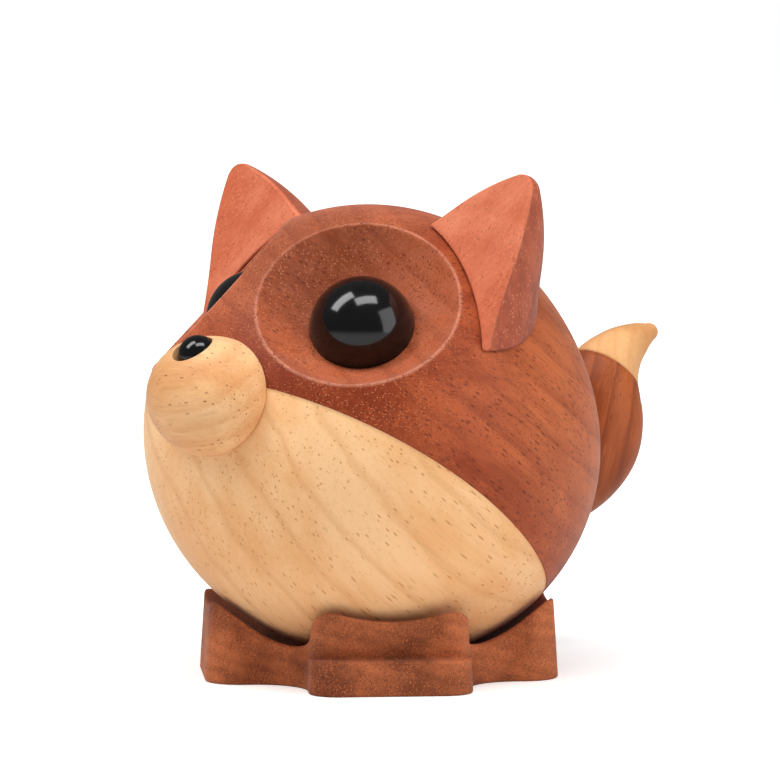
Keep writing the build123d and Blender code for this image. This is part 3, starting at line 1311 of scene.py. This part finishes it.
@dataclass(frozen=True)
class View:
    """The camera: azimuth from the fox's front to its left and height above level, in degrees."""

    azimuth: float = 45.6
    elevation: float = 4.7
    target: Triple = FOX_MIDDLE
    aside: float = 15.6
    above: float = 43.9
    pixel: float = 0.1757
    distance: float = 5000.0
    width: float = 780.0
    sensor: float = 36.0
    clip: Pair = (0.05, 20.0)

    @property
    def axes(self) -> tuple[Array, Array, Array]:
        """Unit vectors to the right, up and back towards the camera."""
        back = face_direction(self.azimuth, self.elevation)
        right = face_direction(self.azimuth + 90, 0)
        return right, np.cross(back, right), back

    def along(self, right: float, up: float, back: float) -> Array:
        """A unit direction from its parts in the camera's frame."""
        return unit(sum(part * axis for part, axis in zip((right, up, back), self.axes)))

    def camera(self) -> None:
        """Adds the camera; the picture's centre lies some pixels aside and above the target."""
        right, up, back = self.axes
        data = bpy.data.cameras.new("camera")
        data.sensor_fit = "HORIZONTAL"
        data.sensor_width = self.sensor
        data.lens = self.distance / self.width * self.sensor
        data.clip_start, data.clip_end = self.clip
        arm = self.aside * right + self.above * up + self.distance * back
        place = (np.array(self.target) + arm * self.pixel) * MM
        turn = Matrix(np.stack([right, up, back], axis=1).tolist())
        bpy.context.scene.camera = add_object("camera", data, place, turn)


@dataclass(frozen=True)
class Lamp:
    """A soft rectangle of light that faces the fox, placed in the camera's frame."""

    name: str
    towards: Triple
    distance: float
    size: Pair
    power: float

    def place(self, view: View) -> None:
        """Adds the lamp at its distance in metres from the fox's middle."""
        data = bpy.data.lights.new(self.name, "AREA")
        data.shape = "RECTANGLE"
        data.size, data.size_y = self.size
        data.energy = self.power
        towards = view.along(*self.towards)
        place = np.array(view.target) * MM + towards * self.distance
        add_object(self.name, data, place, Vector(towards).to_track_quat("Z", "Y").to_matrix())


@dataclass(frozen=True)
class Studio:
    """A white floor that keeps the soft shadows, a white surround and the soft lamps."""

    view: View
    lamps: tuple[Lamp, ...]
    floor_half: float = 3.0
    ambient: float = 0.37
    in_mirrors: float = 0.14
    floor_glow: float = 0.45
    floor_grey: float = 0.8
    shade_reach: Pair = (0.05, 0.15)

    def floor(self) -> None:
        """Adds the floor: a pale diffuse sheet, plus a glow for the camera that grows outwards."""
        half, grey = self.floor_half, self.floor_grey
        mesh = bpy.data.meshes.new("floor")
        corners = [(-half, -half, 0), (half, -half, 0), (half, half, 0), (-half, half, 0)]
        mesh.from_pydata(corners, [], [(0, 1, 2, 3)])
        material, sheet = new_material("floor_white")
        nodes = material.node_tree.nodes
        nodes.remove(nodes["Principled BSDF"])
        length = sheet.add("ShaderNodeVectorMath", {0: sheet.coordinates()}, operation="LENGTH")
        spread = sheet.step(length.outputs["Value"], *self.shade_reach)
        level = sheet.scaled(spread, 1 - self.floor_glow, self.floor_glow)
        seen = sheet.add("ShaderNodeLightPath").outputs["Is Camera Ray"]
        paint = sheet.add("ShaderNodeBsdfDiffuse", {"Color": (grey, grey, grey, 1.0)})
        glow = sheet.add("ShaderNodeEmission", {"Strength": sheet.times(seen, level)})
        both = sheet.add("ShaderNodeAddShader", {0: paint.outputs[0], 1: glow.outputs[0]})
        sheet.feed(nodes["Material Output"], {"Surface": both.outputs[0]})
        mesh.materials.append(material)
        add_object("floor", mesh)

    def surround(self) -> None:
        """Sets the world: white where seen, dark grey in mirrors, a plain grey light elsewhere."""
        world = bpy.data.worlds.new("surround")
        world.use_nodes = True
        bpy.context.scene.world = world
        sheet = Sheet(world.node_tree)
        path = sheet.add("ShaderNodeLightPath").outputs
        change = self.in_mirrors - self.ambient
        light = sheet.scaled(path["Is Glossy Ray"], change, self.ambient)
        strength = sheet.math("MAXIMUM", path["Is Camera Ray"], light)
        sheet.feed(world.node_tree.nodes["Background"], {"Color": WHITE, "Strength": strength})

    def build(self) -> None:
        """Adds floor, surround, lamps and camera, and keeps plain display colours."""
        self.floor()
        self.surround()
        for lamp in self.lamps:
            lamp.place(self.view)
        self.view.camera()
        bpy.context.scene.view_settings.view_transform = "Standard"


BODY_FIBRE = (0.0, -0.823, 0.568)
BALL = Ball(FOX_MIDDLE)
EAR = Ear(BALL)

RED_WOOD = Wood(
    "red_wood",
    Grain(BODY_FIBRE, (0.45, 0.45, 0.77), FOX_MIDDLE),
    dark=(144, 56, 20),
    light=(184, 88, 46),
    rings=Rings(5.2, (128, 50, 20), 0.3, fade=0.5, waver=0.8),
    tints=(
        # Painted highlight: the top of the head lighter and pinker, as light from above grazes it.
        Tint(Zone((-6.0, -20.0, 86.0), 18.0, 38.0), (212, 118, 82), 0.65),
        # Painted sheen: the back of the left flank, the ball's right-hand edge in the view, lighter
        # as a grazing reflection.
        Tint(Zone((38.0, 24.0, 50.0), 16.0, 40.0), (214, 122, 72), 0.6),
        Tint(Zone((16.0, -40.0, 42.0), 14.0, 34.0), (122, 40, 8), 0.85),
        # Painted highlight: a pale pink ring along each dish's rounded rim. The tint after it sets
        # each dish's inside back to an orange brown.
        *(Tint(Zone(dish, 21.2, 21.8), (222, 148, 120), 0.75) for dish in BALL.dish_centres),
        *(Tint(Zone(dish, 20.98, 21.15), (186, 92, 52), 0.95) for dish in BALL.dish_centres),
        Tint(Zone((6.0, -24.0, 80.0), 9.0, 22.0), (120, 52, 16), 0.6),
    ),
    dashes=(
        Dashes((0.75, 0.75, 2.8), 0.3, (84, 28, 10), 0.6, 0.4),
        Dashes((0.38, 0.38, 0.9), 0.32, (104, 36, 12), 0.55, 0.36),
        Dashes(
            (0.4, 0.4, 1.0), 0.3, (236, 152, 104), 0.55, 0.36, Zone((0.0, -34.0, 60.0), 26.0, 50.0)
        ),
    ),
    patch_cell=(6.0, 6.0, 30.0),
)
PALE_WOOD = Wood(
    "pale_wood",
    Grain(BODY_FIBRE, (0.75, 0.278, 0.60), FOX_MIDDLE),
    dark=(242, 180, 120),
    light=(254, 204, 150),
    rings=Rings(8.8, (222, 156, 98), 0.36, shift=0.05, fade=0.2, rise=0.12, waver=0.6),
    dashes=(
        Dashes((0.8, 0.8, 5.6), 0.24, (190, 118, 56), 0.65, 0.38),
        Dashes((0.6, 0.6, 1.6), 0.2, (204, 136, 76), 0.45, 0.42),
    ),
    streak=0.16,
)
SNOUT_WOOD = Wood(
    "snout_wood",
    Grain((1.0, 0.06, 0.1), (0.0, -0.5, 0.8), (0.0, -40.0, 51.0)),
    dark=(222, 156, 98),
    light=(246, 196, 142),
    rings=Rings(3.6, (222, 150, 96), 0.35, rise=0.2),
    dashes=(
        Dashes((0.9, 0.9, 3.2), 0.2, (128, 66, 30), 0.75, 0.46),
        Dashes((0.55, 0.55, 1.6), 0.18, (176, 108, 62), 0.5, 0.44),
    ),
    streak=0.25,
)
EAR_WOOD = Wood(
    "ear_wood",
    Grain((0.56, -0.16, 0.81), (0.1, 0.9, 0.2), (20.0, -2.0, 65.0)),
    dark=(206, 104, 68),
    light=(230, 134, 98),
    rings=Rings(3.4, (192, 86, 52), 0.25, fade=0.55, rise=0.3),
    # Painted shade: the rounded back of each ear darker behind its flat front.
    tints=tuple(Tint(EAR.back_shade_zone(side), (140, 64, 44), 0.85) for side in (1, -1)),
    dashes=(
        Dashes((0.6, 0.6, 1.8), 0.26, (138, 54, 30), 0.5, 0.42),
        Dashes((0.5, 0.5, 2.4), 0.24, (246, 166, 126), 0.5, 0.42),
    ),
    streak=0.3,
)
TAIL_WOOD = Wood(
    "tail_wood",
    Grain((0.1, 0.25, 0.96), (0.6, 0.75, -0.2), (0.0, 57.0, 42.0)),
    dark=(134, 60, 24),
    light=(180, 92, 42),
    rings=Rings(4.4, (122, 54, 24), 0.6),
    dashes=(Dashes((0.8, 0.8, 5.0), 0.18, (96, 40, 18), 0.6, 0.46),),
)
TIP_WOOD = Wood(
    "tip_wood",
    Grain((0.1, 0.25, 0.96), (0.6, 0.75, -0.2), (0.0, 60.0, 55.0)),
    dark=(214, 150, 92),
    light=(236, 180, 122),
    rings=Rings(3.0, (218, 150, 92), 0.35, waver=0.5),
    dashes=(Dashes((0.9, 0.9, 5.0), 0.15, (176, 110, 60), 0.5, 0.5),),
    streak=0.2,
)
FOOT_WOOD = Wood(
    "foot_wood",
    Grain((0.72, -0.69, 0.05), (0.2, 0.2, 0.95), (0.0, 0.0, 7.0)),
    dark=(124, 62, 34),
    light=(196, 110, 66),
    rings=Rings(2.6, (98, 46, 26), 0.2, rise=0.3),
    dashes=(
        Dashes((0.4, 0.4, 0.6), 0.34, (70, 28, 14), 0.55, 0.34),
        Dashes((0.36, 0.36, 0.55), 0.34, (232, 132, 72), 0.6, 0.36),
    ),
    rough=0.68,
    bump=0.3,
)
DOWEL_WOOD = Wood(
    "dowel_wood",
    Grain((0, 0, 1), (1, 0, 0)),
    dark=(204, 168, 122),
    light=(222, 190, 146),
    dashes=(Dashes((0.6, 0.6, 2.5), 0.16, (176, 134, 92), 0.6, 0.4),),
    streak=0.2,
    rough=0.6,
)
BLACK_GLOSS = Gloss("black_gloss")


def build_fox() -> None:
    """Builds and dresses the fox: two body halves, eyes, ears, snout with its bead, and tail."""
    gloss, ears = BLACK_GLOSS.material(), EAR_WOOD.material()
    UpperHalf(BALL).shell().piece(RED_WOOD.material(), "red_wood", "body_upper")
    BellyCap(BALL).shell().piece(PALE_WOOD.material(), "pale_wood", "body_belly")
    eye, snout = Eye(BALL), Snout(BALL)
    for side, name in ((1, "left"), (-1, "right")):
        eye.shell(f"eye_{name}_gloss", side).piece(gloss, "black_gloss", f"eye_{name}")
        EAR.shell(f"ear_{name}_carved", side).piece(ears, "ear_wood", f"ear_{name}")
    snout.shell().piece(SNOUT_WOOD.material(), "snout_wood", "snout")
    snout.bead().piece(gloss, "black_gloss", "nose_bead")
    body, tip = Tail(BALL).shells()
    body.piece(TAIL_WOOD.material(), "tail_wood", "tail_body")
    tip.piece(TIP_WOOD.material(), "tip_wood", "tail_tip")


def dress_dowels(nodes: dict[str, bpy.types.Object]) -> None:
    """Gives the dowels inside the glued joints a plain beech finish, on their own meshes."""
    beech = DOWEL_WOOD.material()
    for name in (name for name in nodes if "dowel" in name):
        for slot in nodes[name].material_slots:
            slot.material = beech
        log.info("%s: dressed", name)


def studio() -> Studio:
    """The lamps' places follow the two small highlights on the near eye."""
    lamps = (
        Lamp("lamp_left", (-0.56, 0.80, 0.20), 0.7, (0.22, 0.5), 2.6),
        Lamp("lamp_top", (0.11, 0.90, 0.42), 0.8, (0.55, 0.25), 3.0),
        Lamp("lamp_right", (0.85, 0.25, 0.45), 0.9, (0.6, 0.8), 3.2),
    )
    return Studio(View(), lamps)


def main() -> None:
    """Loads the frame, builds the fox, its foot and the studio."""
    logging.basicConfig(level=logging.INFO, format="%(name)s %(message)s")
    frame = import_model()
    build_fox()
    Foot(FOX_MIDDLE[2]).shell().piece(FOOT_WOOD.material(), "foot_wood", "base", Body.FOOT)
    dress_dowels(frame["nodes"])
    studio().build()


if __name__ == "__main__":
    main()
